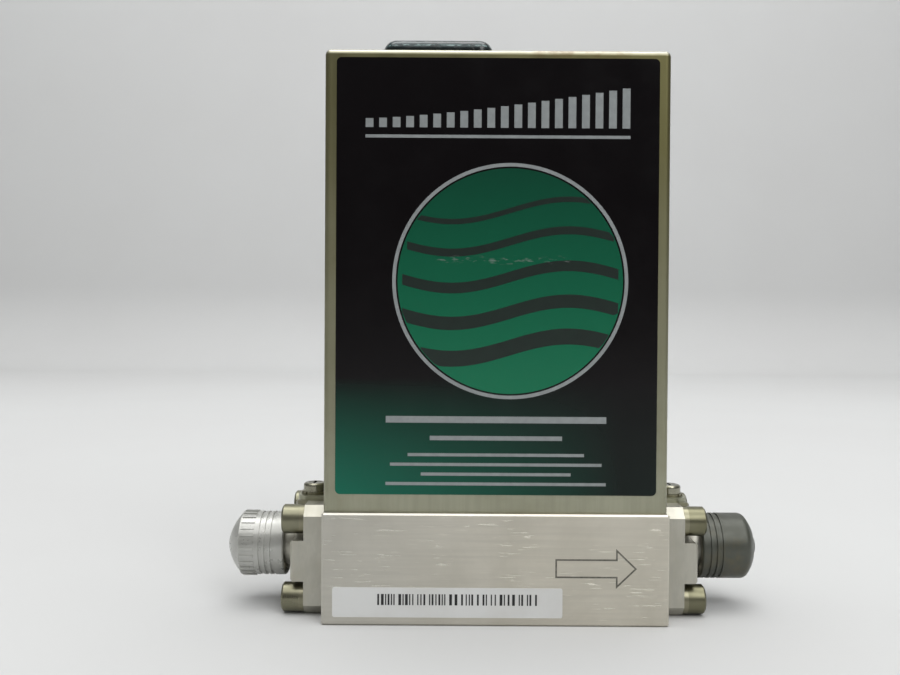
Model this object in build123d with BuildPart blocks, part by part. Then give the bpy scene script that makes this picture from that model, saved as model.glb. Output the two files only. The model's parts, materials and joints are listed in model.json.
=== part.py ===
from build123d import *
import os

# Thermal mass flow controller with face-seal end fittings.
# Frame: X is the flow axis with the inlet at -X, Y points to the back and Z is up.
# The origin is the centre of the base block's bottom face. Sizes are in millimetres.

os.makedirs("parts", exist_ok=True)

# Driving dimensions of the base block
block_length = 78.7
block_depth = 38.1
block_height = 25.4
block_edge = 0.4
port_z = 14.35
mount_hole_spacing = 31.75
mount_hole_depth = 5.5

# Number 8 socket screws that hold the end fittings, in an even square
bolt_spread = 18.4
bolt_z = 12.9
bolt_head_radius = 3.43
bolt_head_length = 4.17
bolt_shank_radius = 2.05
bolt_length = 12.7
bolt_key_width = 3.57
bolt_key_depth = 2.0
bolt_bottom_room = 1.8
tapped_clearance = 0.06
clear_hole_radius = 2.25
lock_washer_radius = 3.45
lock_washer_thickness = 1.1
lock_washer_slit = 0.5

# End fittings, square plates with a raised cross and a male gland
fitting_size = 25.4
fitting_bottom = 0.2
fitting_corner = 2.3
plate_thickness = 5.0
cross_rise = 3.1
bar_height = 9.5
arm_width = 8.8
cross_edge = 0.5
gland_bore = 2.3
gland_neck_radius = 5.25
gland_neck_length = 2.9
gland_thread_radius = 6.6
gland_face = 62.0
gland_shoulder = 0.9
bead_inner_radius = 3.5
bead_outer_radius = 5.0

# Protective caps over the glands
inlet_cap_radius = 7.65
outlet_cap_radius = 7.85
cap_open_end = 50.0
cap_tip = 64.3
cap_thread_room = 0.6
cap_end_gap = 0.3
cap_groove_depth = 0.32
cap_groove_width = 0.75
cap_groove_pitch = 1.41
cap_groove_count = 3
cap_cavity_step = 1.0
cap_cavity_taper = (0.68, 0.89)
cap_rim_edge = 0.3
inlet_nose_start = (0.6, -0.8)
outlet_nose_start = (1.0, 0.0)

# Cap noses as (distance from the tip, radius), both in parts of the cap radius
inlet_nose = ((0.465, 1.0), (0.3, 0.79), (0.127, 0.497), (0.038, 0.267), (0.0, 0.0))
outlet_nose = ((0.51, 1.0), (0.306, 0.873), (0.178, 0.65), (0.076, 0.344), (0.0, 0.0))
outlet_groove_shift = -1.1
cap_first_groove = 52.8
rib_count = 28
rib_width = 0.7
rib_rise = 0.2
rib_start = 57.2
rib_end = 60.4

# Ring seals of round section
seal_section = 0.72
seal_groove_depth = 1.5
seal_groove_width = 2.0
fitting_seal_radius = 8.3

# Sheet-metal cover
cover_depth = 35.0
cover_inset = 0.2
cover_top = 130.3
cover_wall = 1.0
cover_bend = 1.3
ear_width = 10.0
ear_hole_radius = 1.65
ear_screw_x = 43.4
ear_reach = 3.8

# Number 4 pan-head screws
small_head_radius = 2.8
small_head_height = 2.1
small_shank_radius = 1.4
small_tap_gap = 0.05
small_screw_bite = 6.0
small_tap_depth = 7.5
cover_screw_length = 7.0
fitting_tap_depth = 8.0
star_washer_thickness = 0.6
star_washer_radius = 3.25
star_tooth_count = 12

# Labels
label_thickness = 0.12
front_label_width = 72.9
front_label_bottom = 29.5
front_label_top = 128.3
front_label_corner = 1.1
serial_label_left = -36.8
serial_label_right = 15.2
serial_label_bottom = 1.95
serial_label_top = 8.7

# Fifteen-pin connector on top
connector_x = -13.8
shell_width = 25.0
shell_depth = 8.4
shell_wall = 0.5
shell_rise = 5.9
shell_slant = 10.0
post_shank_reach = 3.0
post_floor = 0.8
dust_cap_edge = 2.8
pin_tail_reach = 2.5
shell_corner = 2.2
flange_end = 2.95
flange_depth = 12.5
flange_thickness = 0.8
jack_spacing = 33.3
flange_width = jack_spacing + 2 * flange_end
jack_post_height = 4.0
jack_post_across = 4.75
shell_hole_gap = 0.3
pin_radius = 0.5
pin_pitch = 2.77
pin_row_gap = 2.84
pin_long_row = 8
pin_short_row = 7
pin_height = 5.0
insulator_depth = 4.2
dust_cap_wall = 1.2
dust_cap_gap = 0.06
dust_cap_rise = 6.1
dust_cap_corner = 3.4
dust_cap_roof = 0.9
dust_cap_lift = 0.1

# Thermal flow sensor
sensor_x = -21.0
sensor_leg_spacing = 16.0
sensor_base_length = 29.0
sensor_base_depth = 26.0
sensor_base_height = 5.0
sensor_port_radius = 1.0
sensor_screw_spread_x = 12.0
sensor_screw_spread_y = 21.0
sensor_can_length = 26.0
sensor_can_depth = 14.0
sensor_can_height = 34.0
sensor_can_wall = 1.2
sensor_rebate = 0.8
capillary_radius = 0.45
capillary_bore = 0.3
capillary_top = 58.0
capillary_bend = 2.5
winding_radius = 0.95
winding_length = 4.2
winding_spread = 5.6
small_seal_radius = 2.05

# Bypass, a laminar flow element in the inlet chamber
chamber_radius = 6.5
chamber_depth = 31.0
bypass_gap = 0.1
bypass_start = -27.0
bypass_length = 12.0
bypass_slots = 12
bypass_slot_depth = 1.4
bypass_slot_width = 0.8
bypass_nose = 3.0
spacer_wall = 1.1
screen_thickness = 0.5
screen_hole_radius = 0.55

# Solenoid control valve
valve_x = 17.0
valve_well_radius = 10.0
valve_well_depth = 7.0
riser_offset = 7.5
passage_radius = 1.6
outlet_bore = 2.5
seat_radius = 4.0
seat_height = 3.2
seat_land_radius = 1.3
seat_land_height = 0.2
orifice_radius = 0.5
tube_flange_height = 3.0
tube_flange_gap = 0.15
tube_outer_radius = 5.2
tube_inner_radius = 4.2
tube_gap = 0.1
plunger_gap = 0.08
plunger_height = 20.0
plunger_lift = 0.3
disc_radius = 2.6
disc_height = 1.2
disc_gap = 0.05
spring_radius = 2.8
spring_wire = 0.25
spring_turns = 4
spring_height = 5.5
valve_plate_size = 28.0
valve_plate_thickness = 2.0
valve_screw_spread = 22.0
yoke_radius = 12.4
yoke_wall = 1.2
yoke_plate = 1.6
yoke_height = 32.6
bobbin_wall = 1.0
bobbin_flange = 1.2
winding_gap = 0.3
stud_radius = 3.0
stud_height = 7.0
nut_across = 10.0
nut_height = 3.6

# Control board above the valve and the sensor
board_side_gap = 3.2
board_bottom = 76.0
board_thickness = 1.6
board_top_gap = 4.0
bracket_x = -1.5
bracket_width = 8.0
bracket_sheet = 1.2
bracket_foot = 13.5
bracket_height = 64.0
bracket_bend = 1.6
board_screw_z = (79.5, 86.0)
foot_screw_y = (-5.1, -11.2)
chip_length = 19.0
chip_depth = 6.4
chip_rise = 3.4
chip_gap = 3.0
chip_rows = ((13.6, 13.6), (28.6, 26.6))
capacitor_radius = 3.1
capacitor_rise = 9.0
capacitor_edge = 6.0
capacitor_rows = (18.6, 28.6, 38.6)
resistor_radius = 1.1
resistor_length = 6.2
resistor_count = 6
resistor_pitch = 3.6
resistor_inner = 9.0
resistor_rise = 6.0
trimmer_length = 9.5
trimmer_rise = 4.8
trimmer_height = 9.5
trimmer_z = (104.0, 90.0)
trimmer_names = ("zero", "span")
trimmer_screw_radius = 1.1
trimmer_screw_length = 3.0
trimmer_screw_proud = 1.2
trimmer_screw_gap = 0.05
trimmer_slot = 0.4
access_hole_radius = 1.9

# Places that follow from the driving dimensions
half_length = block_length / 2
half_depth = block_depth / 2
fitting_z = fitting_bottom + fitting_size / 2
fitting_top = fitting_bottom + fitting_size
plate_outer = half_length + plate_thickness
cross_outer = plate_outer + cross_rise
thread_start = cross_outer + gland_neck_length
washer_outer = plate_outer + lock_washer_thickness
bolt_hole_radius = bolt_shank_radius + tapped_clearance
bolt_grip = plate_thickness + lock_washer_thickness
bolt_hole_depth = bolt_length - bolt_grip + bolt_bottom_room
small_hole_radius = small_shank_radius + small_tap_gap
cover_front = cover_depth / 2
half_cover = half_length - cover_inset
cover_inside = half_cover - cover_wall
ear_thickness = cover_wall
ear_top = fitting_top + ear_thickness
chamber_end = -half_length + chamber_depth
well_floor = block_height - valve_well_depth
seat_top = well_floor + seat_height + seat_land_height
plunger_bottom = seat_top + 0.2
plunger_top = plunger_bottom + plunger_height
pole_bottom = plunger_top + spring_height
valve_plate_top = block_height + valve_plate_thickness
yoke_bottom = valve_plate_top
yoke_top = yoke_bottom + yoke_height
shoulder_z = yoke_top - yoke_plate
shell_bottom = cover_top - cover_wall - flange_thickness
shell_top = shell_bottom + flange_thickness + shell_rise
pin_floor = shell_top - pin_height - 0.5
board_top = cover_top - cover_wall - flange_thickness - board_top_gap
sensor_base_top = block_height + sensor_base_height
board_back = board_thickness / 2
sensor_legs = (sensor_x - sensor_leg_spacing / 2, sensor_x + sensor_leg_spacing / 2)
board_width = 2 * (cover_inside - board_side_gap)
trimmer_left = -board_width / 2
capacitor_x = board_width / 2 - capacitor_edge
chip_left_x = trimmer_left + trimmer_length + chip_gap + chip_length / 2
chip_right_x = capacitor_x - capacitor_radius - chip_gap - chip_length / 2
chip_places = [(x, board_top - drop) for row in chip_rows
               for x, drop in ((chip_left_x, row[0]), (chip_right_x, row[1]))]
capacitor_places = [(capacitor_x, board_top - drop) for drop in capacitor_rows]

cap_bore = gland_thread_radius + cap_thread_room
cap_floor = gland_face + cap_end_gap

port_axis = Axis((0, 0, port_z), (1, 0, 0))
valve_axis = Axis((valve_x, 0, 0), (0, 0, 1))
sides = ((-1, "inlet"), (1, "outlet"))


def end_plane(side, distance):
    """A plane across the flow axis that faces outwards, with local y along Z."""
    return Plane(origin=(side * distance, 0, 0), x_dir=(0, side, 0), z_dir=(side, 0, 0))


def turned_on_port(side, outline, mode=Mode.ADD):
    """Turn an outline of (distance from the centre, radius) pairs about the port axis."""
    with BuildSketch(Plane.XZ) as half:
        with BuildLine():
            Polyline(*[(side * x, port_z + r) for x, r in outline], close=True)
        make_face()
    revolve(half.sketch, axis=port_axis, mode=mode)


def turned_on_valve(outline, mode=Mode.ADD):
    """Turn an outline of (radius, height) pairs about the valve axis."""
    with BuildSketch(Plane.XZ) as half:
        with BuildLine():
            Polyline(*[(valve_x + r, z) for r, z in outline], close=True)
        make_face()
    revolve(half.sketch, axis=valve_axis, mode=mode)


def turned_cap(side, radius, groove_shift, nose, nose_start):
    """A cap over a gland, with grooves near its open end and a smooth curved nose."""
    outline = [(cap_floor, 0), (cap_floor, cap_cavity_taper[0] * cap_bore)]
    outline += [(cap_floor - cap_cavity_step, cap_cavity_taper[1] * cap_bore)]
    outline += [(cap_floor - 2 * cap_cavity_step, cap_bore), (cap_open_end, cap_bore)]
    outline += [(cap_open_end, radius - cap_rim_edge), (cap_open_end + cap_rim_edge, radius)]
    for number in range(cap_groove_count):
        start = cap_first_groove + groove_shift + number * cap_groove_pitch - cap_groove_width / 2
        end = start + cap_groove_width
        floor_radius = radius - cap_groove_depth
        outline += [(start, radius), (start, floor_radius), (end, floor_radius), (end, radius)]
    curve = [(side * (cap_tip - radius * x), port_z + radius * r) for x, r in nose]
    with BuildSketch(Plane.XZ) as half:
        with BuildLine():
            Polyline(*[(side * x, port_z + r) for x, r in outline], curve[0])
            Spline(*curve, tangents=((side * nose_start[0], nose_start[1]), (0, -1)))
            Line(curve[-1], (side * cap_floor, port_z))
        make_face()
    revolve(half.sketch, axis=port_axis)


def round_hole(plane, places, radius, depth):
    """Drill blind holes into the solid from a plane that faces out of it."""
    with BuildSketch(plane) as circles:
        with Locations(*places):
            Circle(radius)
    extrude(circles.sketch, amount=-depth, mode=Mode.SUBTRACT)


def pan_head_screws(places, seat_z, length):
    """Small pan-head screws that point down from a seat at one height."""
    with BuildSketch(Plane.XY.offset(seat_z)) as heads:
        with Locations(*places):
            Circle(small_head_radius)
    extrude(heads.sketch, amount=small_head_height)
    rims = faces().filter_by(Axis.Z).group_by(Axis.Z)[-1].edges()
    fillet(rims, small_head_height * 0.35)
    with BuildSketch(Plane.XY.offset(seat_z)) as shanks:
        with Locations(*places):
            Circle(small_shank_radius)
    extrude(shanks.sketch, amount=-length)
    with BuildSketch(Plane.XY.offset(seat_z + small_head_height)) as crosses:
        with Locations(*places):
            Rectangle(small_head_radius * 1.1, 0.6)
            Rectangle(0.6, small_head_radius * 1.1)
    extrude(crosses.sketch, amount=-small_head_height * 0.5, mode=Mode.SUBTRACT)


def d_outline(width, depth, corner):
    """The outline of a fifteen-pin shell: a trapezoid with rounded corners."""
    Trapezoid(width, depth, 90 - shell_slant)
    fillet(vertices(), corner)


bolt_places = [(y, bolt_z + z) for y in (-bolt_spread / 2, bolt_spread / 2)
               for z in (-bolt_spread / 2, bolt_spread / 2)]
sensor_screw_places = [(sensor_x + x, y)
                       for x in (-sensor_screw_spread_x / 2, sensor_screw_spread_x / 2)
                       for y in (-sensor_screw_spread_y / 2, sensor_screw_spread_y / 2)]
valve_screw_places = [(valve_x + x, y)
                      for x in (-valve_screw_spread / 2, valve_screw_spread / 2)
                      for y in (-valve_screw_spread / 2, valve_screw_spread / 2)]
foot_screw_places = [(bracket_x, y) for y in foot_screw_y]
jack_places = [(connector_x - jack_spacing / 2, 0), (connector_x + jack_spacing / 2, 0)]

# Base block with the inlet chamber, the passages and the valve well
with BuildPart() as base_block:
    with BuildSketch():
        Rectangle(block_length, block_depth)
    extrude(amount=block_height)
    chamfer(base_block.edges(), block_edge)
    turned_on_port(1, ((-half_length, 0), (-half_length, chamber_radius),
                       (chamber_end, chamber_radius), (chamber_end, 0)), Mode.SUBTRACT)
    inlet_passage_end = valve_x - riser_offset + passage_radius
    turned_on_port(1, ((chamber_end - 1, 0), (chamber_end - 1, passage_radius),
                       (inlet_passage_end, passage_radius), (inlet_passage_end, 0)),
                   Mode.SUBTRACT)
    outlet_start = valve_x - outlet_bore
    turned_on_port(1, ((outlet_start, 0), (outlet_start, outlet_bore),
                       (half_length, outlet_bore), (half_length, 0)), Mode.SUBTRACT)
    turned_on_valve(((0, well_floor), (valve_well_radius, well_floor),
                     (valve_well_radius, block_height), (0, block_height)), Mode.SUBTRACT)
    well_plane = Plane.XY.offset(well_floor)
    round_hole(well_plane, [(valve_x - riser_offset, 0), (valve_x, 0)],
               passage_radius, well_floor - port_z)
    top_plane = Plane.XY.offset(block_height)
    round_hole(top_plane, [(x, 0) for x in sensor_legs], sensor_port_radius,
               block_height - port_z)
    round_hole(top_plane, sensor_screw_places, small_hole_radius, small_tap_depth)
    round_hole(top_plane, valve_screw_places, small_hole_radius, small_tap_depth)
    round_hole(top_plane, foot_screw_places, small_hole_radius, small_tap_depth)
    for side, _ in sides:
        face = end_plane(side, half_length)
        round_hole(face, bolt_places, bolt_hole_radius, bolt_hole_depth)
        with BuildSketch(face):
            with Locations((0, port_z)):
                Circle(fitting_seal_radius + seal_groove_width / 2)
                Circle(fitting_seal_radius - seal_groove_width / 2, mode=Mode.SUBTRACT)
        extrude(amount=-seal_groove_depth, mode=Mode.SUBTRACT)
    round_hole(Plane.XY.rotated((180, 0, 0)),
               [(-mount_hole_spacing / 2, 0), (mount_hole_spacing / 2, 0)],
               bolt_hole_radius, mount_hole_depth)
base_block.part.label = "base_block"
export_step(base_block.part, "parts/base_block.step")

# End fittings: square plate, raised cross between the screw notches, male gland
for side, name in sides:
    with BuildPart() as fitting:
        with BuildSketch(end_plane(side, half_length)) as outline:
            with Locations((0, fitting_z)):
                Rectangle(fitting_size, fitting_size)
            chamfer(outline.vertices(), fitting_corner)
        extrude(amount=plate_thickness)
        with BuildSketch(end_plane(side, plate_outer)):
            with Locations((0, fitting_z)):
                Rectangle(fitting_size, bar_height)
                Rectangle(arm_width, fitting_size)
        extrude(amount=cross_rise)
        rim = fitting.faces().sort_by(Axis((0, 0, 0), (side, 0, 0)))[-1]
        chamfer(rim.edges(), cross_edge)
        turned_on_port(side, (
            (cross_outer - 1, 0), (cross_outer - 1, gland_neck_radius),
            (thread_start, gland_neck_radius),
            (thread_start + gland_shoulder / 2, gland_thread_radius),
            (gland_face - 2 * gland_shoulder, gland_thread_radius),
            (gland_face - gland_shoulder, gland_thread_radius - gland_shoulder),
            (gland_face - gland_shoulder, bead_outer_radius),
            (gland_face, bead_outer_radius - 0.4), (gland_face, bead_inner_radius + 0.4),
            (gland_face - gland_shoulder, bead_inner_radius),
            (gland_face - gland_shoulder, 0)))
        round_hole(end_plane(side, gland_face), [(0, port_z)], gland_bore,
                   gland_face - half_length)
        round_hole(end_plane(side, plate_outer), bolt_places, clear_hole_radius,
                   plate_thickness)
        round_hole(Plane.XY.offset(fitting_top), [(side * ear_screw_x, 0)],
                   small_hole_radius, fitting_tap_depth)
    fitting.part.label = name + "_fitting"
    export_step(fitting.part, "parts/" + name + "_fitting.step")

    # Ring seal in the groove of the block's end face
    with BuildPart() as fitting_seal:
        with BuildSketch(Plane.XZ):
            with Locations((side * (half_length - seal_groove_depth / 2),
                            port_z + fitting_seal_radius)):
                Circle(seal_section)
        revolve(axis=port_axis)
    fitting_seal.part.label = name + "_fitting_seal"
    export_step(fitting_seal.part, "parts/" + name + "_fitting_seal.step")

    # Socket-head cap screws
    with BuildPart() as fitting_screws:
        with BuildSketch(end_plane(side, washer_outer)):
            with Locations(*bolt_places):
                Circle(bolt_head_radius)
        extrude(amount=bolt_head_length)
        head_rims = fitting_screws.faces().filter_by(GeomType.PLANE).group_by(Axis.X)
        chamfer(head_rims[-1 if side > 0 else 0].edges(), 0.4)
        with BuildSketch(end_plane(side, washer_outer)):
            with Locations(*bolt_places):
                Circle(bolt_shank_radius)
        extrude(amount=-bolt_length)
        with BuildSketch(end_plane(side, washer_outer + bolt_head_length)):
            with Locations(*bolt_places):
                RegularPolygon(bolt_key_width / 2, 6, major_radius=False)
        extrude(amount=-bolt_key_depth, mode=Mode.SUBTRACT)
    fitting_screws.part.label = name + "_fitting_screws"
    export_step(fitting_screws.part, "parts/" + name + "_fitting_screws.step")

    # Split lock washers under the screw heads
    with BuildPart() as lock_washers:
        with BuildSketch(end_plane(side, plate_outer)):
            with Locations(*bolt_places):
                Circle(lock_washer_radius)
                Circle(clear_hole_radius, mode=Mode.SUBTRACT)
            with Locations(*[(y, z + lock_washer_radius) for y, z in bolt_places]):
                Rectangle(lock_washer_slit, lock_washer_radius * 1.2, mode=Mode.SUBTRACT)
        extrude(amount=lock_washer_thickness)
    lock_washers.part.label = name + "_lock_washers"
    export_step(lock_washers.part, "parts/" + name + "_lock_washers.step")

# Inlet cap: ribbed grip, domed end and grooves over the thread
with BuildPart() as inlet_cap:
    turned_cap(-1, inlet_cap_radius, 0.0, inlet_nose, inlet_nose_start)
    with BuildSketch(end_plane(-1, rib_start)):
        with Locations((0, port_z)):
            with PolarLocations(inlet_cap_radius, rib_count):
                Rectangle(2 * rib_rise, rib_width)
    extrude(amount=rib_end - rib_start)
inlet_cap.part.label = "inlet_cap"
export_step(inlet_cap.part, "parts/inlet_cap.step")

# Outlet cap: smooth, with a rounded shoulder and a flatter end
with BuildPart() as outlet_cap:
    turned_cap(1, outlet_cap_radius, outlet_groove_shift, outlet_nose, outlet_nose_start)
outlet_cap.part.label = "outlet_cap"
export_step(outlet_cap.part, "parts/outlet_cap.step")

# Folded cover with two screw ears, the connector cut-out and two trimmer holes
with BuildPart() as cover:
    with BuildSketch(Plane.XY.offset(block_height)):
        Rectangle(2 * half_cover, cover_depth)
    extrude(amount=cover_top - block_height)
    fillet(cover.edges().filter_by(Axis.Z), cover_bend)
    fillet(cover.faces().sort_by(Axis.Z)[-1].edges(), cover_bend)
    with BuildSketch(Plane.XY.offset(block_height)) as inside:
        Rectangle(2 * cover_inside, cover_depth - 2 * cover_wall)
        fillet(inside.vertices(), cover_bend - cover_wall)
    extrude(amount=cover_top - cover_wall - block_height, mode=Mode.SUBTRACT)
    for side, _ in sides:
        wall_mid = half_cover - cover_wall / 2
        ear_length = ear_screw_x + ear_reach - wall_mid
        with BuildSketch(Plane.XY.offset(fitting_top)) as ear:
            with Locations((side * (wall_mid + ear_length / 2), 0)):
                Rectangle(ear_length, ear_width)
            tip = ear.vertices().group_by(Axis.X)[-1 if side > 0 else 0]
            fillet(tip, ear_reach)
        extrude(amount=ear_thickness)
        round_hole(Plane.XY.offset(ear_top), [(side * ear_screw_x, 0)], ear_hole_radius,
                   ear_thickness)
        with BuildSketch(end_plane(side, half_cover)):
            with Locations((0, block_height + (fitting_top - block_height) / 2)):
                Rectangle(ear_width, fitting_top - block_height)
        extrude(amount=-cover_wall, mode=Mode.SUBTRACT)
    with BuildSketch(Plane.XY.offset(cover_top)):
        with Locations((connector_x, 0)):
            d_outline(shell_width + 2 * shell_hole_gap, shell_depth + 2 * shell_hole_gap,
                      shell_corner)
        with Locations(*jack_places):
            Circle(ear_hole_radius)
    extrude(amount=-cover_wall, mode=Mode.SUBTRACT)
    round_hole(end_plane(-1, half_cover),
               [(board_back + trimmer_rise / 2, z) for z in trimmer_z],
               access_hole_radius, cover_wall)
cover.part.label = "cover"
export_step(cover.part, "parts/cover.step")

# Screws and toothed washers that hold the cover's ears to the fittings
ear_places = [(side * ear_screw_x, 0) for side, _ in sides]
with BuildPart() as cover_screws:
    pan_head_screws(ear_places, ear_top + star_washer_thickness, cover_screw_length)
cover_screws.part.label = "cover_screws"
export_step(cover_screws.part, "parts/cover_screws.step")

with BuildPart() as cover_washers:
    with BuildSketch(Plane.XY.offset(ear_top)):
        with Locations(*ear_places):
            Circle(star_washer_radius)
            Circle(ear_hole_radius, mode=Mode.SUBTRACT)
            with PolarLocations(star_washer_radius, star_tooth_count):
                Rectangle(0.5, 0.6, mode=Mode.SUBTRACT)
    extrude(amount=star_washer_thickness)
cover_washers.part.label = "cover_washers"
export_step(cover_washers.part, "parts/cover_washers.step")

# Adhesive labels on the cover's front and the block's front
with BuildPart() as front_label:
    with BuildSketch(Plane.XZ.offset(cover_front)) as sheet:
        with Locations((0, (front_label_bottom + front_label_top) / 2)):
            Rectangle(front_label_width, front_label_top - front_label_bottom)
        fillet(sheet.vertices(), front_label_corner)
    extrude(amount=label_thickness)
front_label.part.label = "front_label"
export_step(front_label.part, "parts/front_label.step")

with BuildPart() as serial_label:
    with BuildSketch(Plane.XZ.offset(half_depth)) as sheet:
        with Locations(((serial_label_left + serial_label_right) / 2,
                        (serial_label_bottom + serial_label_top) / 2)):
            Rectangle(serial_label_right - serial_label_left,
                      serial_label_top - serial_label_bottom)
        fillet(sheet.vertices(), 0.5)
    extrude(amount=label_thickness)
serial_label.part.label = "serial_label"
export_step(serial_label.part, "parts/serial_label.step")

# Connector: plated shell with its flange, insulator, pins and screw posts
with BuildPart() as connector_shell:
    with BuildSketch(Plane.XY.offset(shell_bottom)) as flange:
        with Locations((connector_x, 0)):
            RectangleRounded(flange_width, flange_depth, 1.0)
        with Locations(*jack_places):
            Circle(ear_hole_radius, mode=Mode.SUBTRACT)
    extrude(amount=flange_thickness)
    with BuildSketch(Plane.XY.offset(shell_bottom)):
        with Locations((connector_x, 0)):
            d_outline(shell_width, shell_depth, shell_corner)
    extrude(amount=shell_top - shell_bottom)
    with BuildSketch(Plane.XY.offset(shell_bottom)):
        with Locations((connector_x, 0)):
            d_outline(shell_width - 2 * shell_wall, shell_depth - 2 * shell_wall,
                      shell_corner - shell_wall)
    extrude(amount=shell_top - shell_bottom, mode=Mode.SUBTRACT)
connector_shell.part.label = "connector_shell"
export_step(connector_shell.part, "parts/connector_shell.step")

pin_places = [(connector_x + (column - (count - 1) / 2) * pin_pitch, row)
              for count, row in ((pin_long_row, -pin_row_gap / 2), (pin_short_row, pin_row_gap / 2))
              for column in range(count)]
with BuildPart() as connector_insulator:
    with BuildSketch(Plane.XY.offset(pin_floor)):
        with Locations((connector_x, 0)):
            d_outline(shell_width - 2 * shell_wall, shell_depth - 2 * shell_wall,
                      shell_corner - shell_wall)
    extrude(amount=-(pin_floor - shell_bottom + insulator_depth / 2))
    round_hole(Plane.XY.offset(pin_floor), pin_places, pin_radius,
               pin_floor - shell_bottom + insulator_depth / 2)
connector_insulator.part.label = "connector_insulator"
export_step(connector_insulator.part, "parts/connector_insulator.step")

with BuildPart() as connector_pins:
    with BuildSketch(Plane.XY.offset(pin_floor + pin_height)):
        with Locations(*pin_places):
            Circle(pin_radius)
    pin_bottom = board_top - pin_tail_reach
    extrude(amount=-(pin_floor + pin_height - pin_bottom))
connector_pins.part.label = "connector_pins"
export_step(connector_pins.part, "parts/connector_pins.step")

with BuildPart() as connector_posts:
    with BuildSketch(Plane.XY.offset(cover_top)):
        with Locations(*jack_places):
            RegularPolygon(jack_post_across / 2, 6, major_radius=False)
    extrude(amount=jack_post_height)
    with BuildSketch(Plane.XY.offset(cover_top)):
        with Locations(*jack_places):
            Circle(small_shank_radius)
    extrude(amount=-(cover_wall + flange_thickness + post_shank_reach))
    round_hole(Plane.XY.offset(cover_top + jack_post_height), jack_places,
               small_hole_radius, jack_post_height - post_floor)
connector_posts.part.label = "connector_posts"
export_step(connector_posts.part, "parts/connector_posts.step")

# Soft dust cap pushed over the connector shell
with BuildPart() as connector_dust_cap:
    cap_width = shell_width + 2 * (dust_cap_gap + dust_cap_wall)
    cap_depth = shell_depth + 2 * (dust_cap_gap + dust_cap_wall)
    with BuildSketch(Plane.XY.offset(cover_top + dust_cap_lift)):
        with Locations((connector_x, 0)):
            d_outline(cap_width, cap_depth, shell_corner + dust_cap_wall)
    extrude(amount=dust_cap_rise - dust_cap_lift)
    fillet(connector_dust_cap.faces().sort_by(Axis.Z)[-1].edges(), dust_cap_edge)
    with BuildSketch(Plane.XY.offset(cover_top + dust_cap_lift)):
        with Locations((connector_x, 0)):
            d_outline(shell_width + 2 * dust_cap_gap, shell_depth + 2 * dust_cap_gap,
                      shell_corner)
    extrude(amount=dust_cap_rise - dust_cap_lift - dust_cap_roof, mode=Mode.SUBTRACT)
connector_dust_cap.part.label = "connector_dust_cap"
export_step(connector_dust_cap.part, "parts/connector_dust_cap.step")

# Flow sensor: base, capillary, windings, can, seals and screws
leg_places = [(x, 0) for x in sensor_legs]
with BuildPart() as sensor_base:
    with BuildSketch(Plane.XY.offset(block_height)):
        with Locations((sensor_x, 0)):
            Rectangle(sensor_base_length, sensor_base_depth)
    extrude(amount=sensor_base_height)
    chamfer(sensor_base.edges().filter_by(Axis.Z), 1.5)
    round_hole(Plane.XY.offset(sensor_base_top), leg_places,
               capillary_radius + small_tap_gap, sensor_base_height)
    with BuildSketch(Plane.XY.offset(block_height)):
        with Locations(*leg_places):
            Circle(small_seal_radius + seal_section + 0.1)
    extrude(amount=seal_groove_depth, mode=Mode.SUBTRACT)
    with BuildSketch(Plane.XY.offset(sensor_base_top)):
        with Locations((sensor_x, 0)):
            Rectangle(sensor_can_length + 0.1, sensor_can_depth + 0.1)
            Rectangle(sensor_can_length - 2 * sensor_can_wall - 0.1,
                      sensor_can_depth - 2 * sensor_can_wall - 0.1, mode=Mode.SUBTRACT)
    extrude(amount=-sensor_rebate, mode=Mode.SUBTRACT)
    round_hole(Plane.XY.offset(sensor_base_top), sensor_screw_places, ear_hole_radius,
               sensor_base_height)
sensor_base.part.label = "sensor_base"
export_step(sensor_base.part, "parts/sensor_base.step")

with BuildPart() as sensor_tube:
    with BuildLine() as route:
        FilletPolyline((sensor_legs[0], 0, block_height + 0.5),
                       (sensor_legs[0], 0, capillary_top),
                       (sensor_legs[1], 0, capillary_top),
                       (sensor_legs[1], 0, block_height + 0.5), radius=capillary_bend)
    with BuildSketch(Plane(route.line @ 0, z_dir=route.line % 0)):
        Circle(capillary_radius)
        Circle(capillary_bore, mode=Mode.SUBTRACT)
    sweep()
sensor_tube.part.label = "sensor_tube"
export_step(sensor_tube.part, "parts/sensor_tube.step")

with BuildPart() as sensor_windings:
    for centre in (sensor_x - winding_spread / 2, sensor_x + winding_spread / 2):
        with BuildSketch(Plane(origin=(centre - winding_length / 2, 0, capillary_top),
                               z_dir=(1, 0, 0))):
            Circle(winding_radius)
            Circle(capillary_radius + 0.02, mode=Mode.SUBTRACT)
        extrude(amount=winding_length)
sensor_windings.part.label = "sensor_windings"
export_step(sensor_windings.part, "parts/sensor_windings.step")

with BuildPart() as sensor_can:
    can_bottom = sensor_base_top - sensor_rebate
    with BuildSketch(Plane.XY.offset(can_bottom)):
        with Locations((sensor_x, 0)):
            Rectangle(sensor_can_length, sensor_can_depth)
    extrude(amount=sensor_can_height)
    chamfer(sensor_can.faces().sort_by(Axis.Z)[-1].edges(), 0.8)
    with BuildSketch(Plane.XY.offset(can_bottom)):
        with Locations((sensor_x, 0)):
            Rectangle(sensor_can_length - 2 * sensor_can_wall,
                      sensor_can_depth - 2 * sensor_can_wall)
    extrude(amount=sensor_can_height - sensor_can_wall, mode=Mode.SUBTRACT)
sensor_can.part.label = "sensor_can"
export_step(sensor_can.part, "parts/sensor_can.step")

with BuildPart() as sensor_seals:
    for x in sensor_legs:
        with BuildSketch(Plane.XZ):
            with Locations((x + small_seal_radius, block_height + seal_groove_depth / 2)):
                Circle(seal_section)
        revolve(axis=Axis((x, 0, 0), (0, 0, 1)))
sensor_seals.part.label = "sensor_seals"
export_step(sensor_seals.part, "parts/sensor_seals.step")

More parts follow.
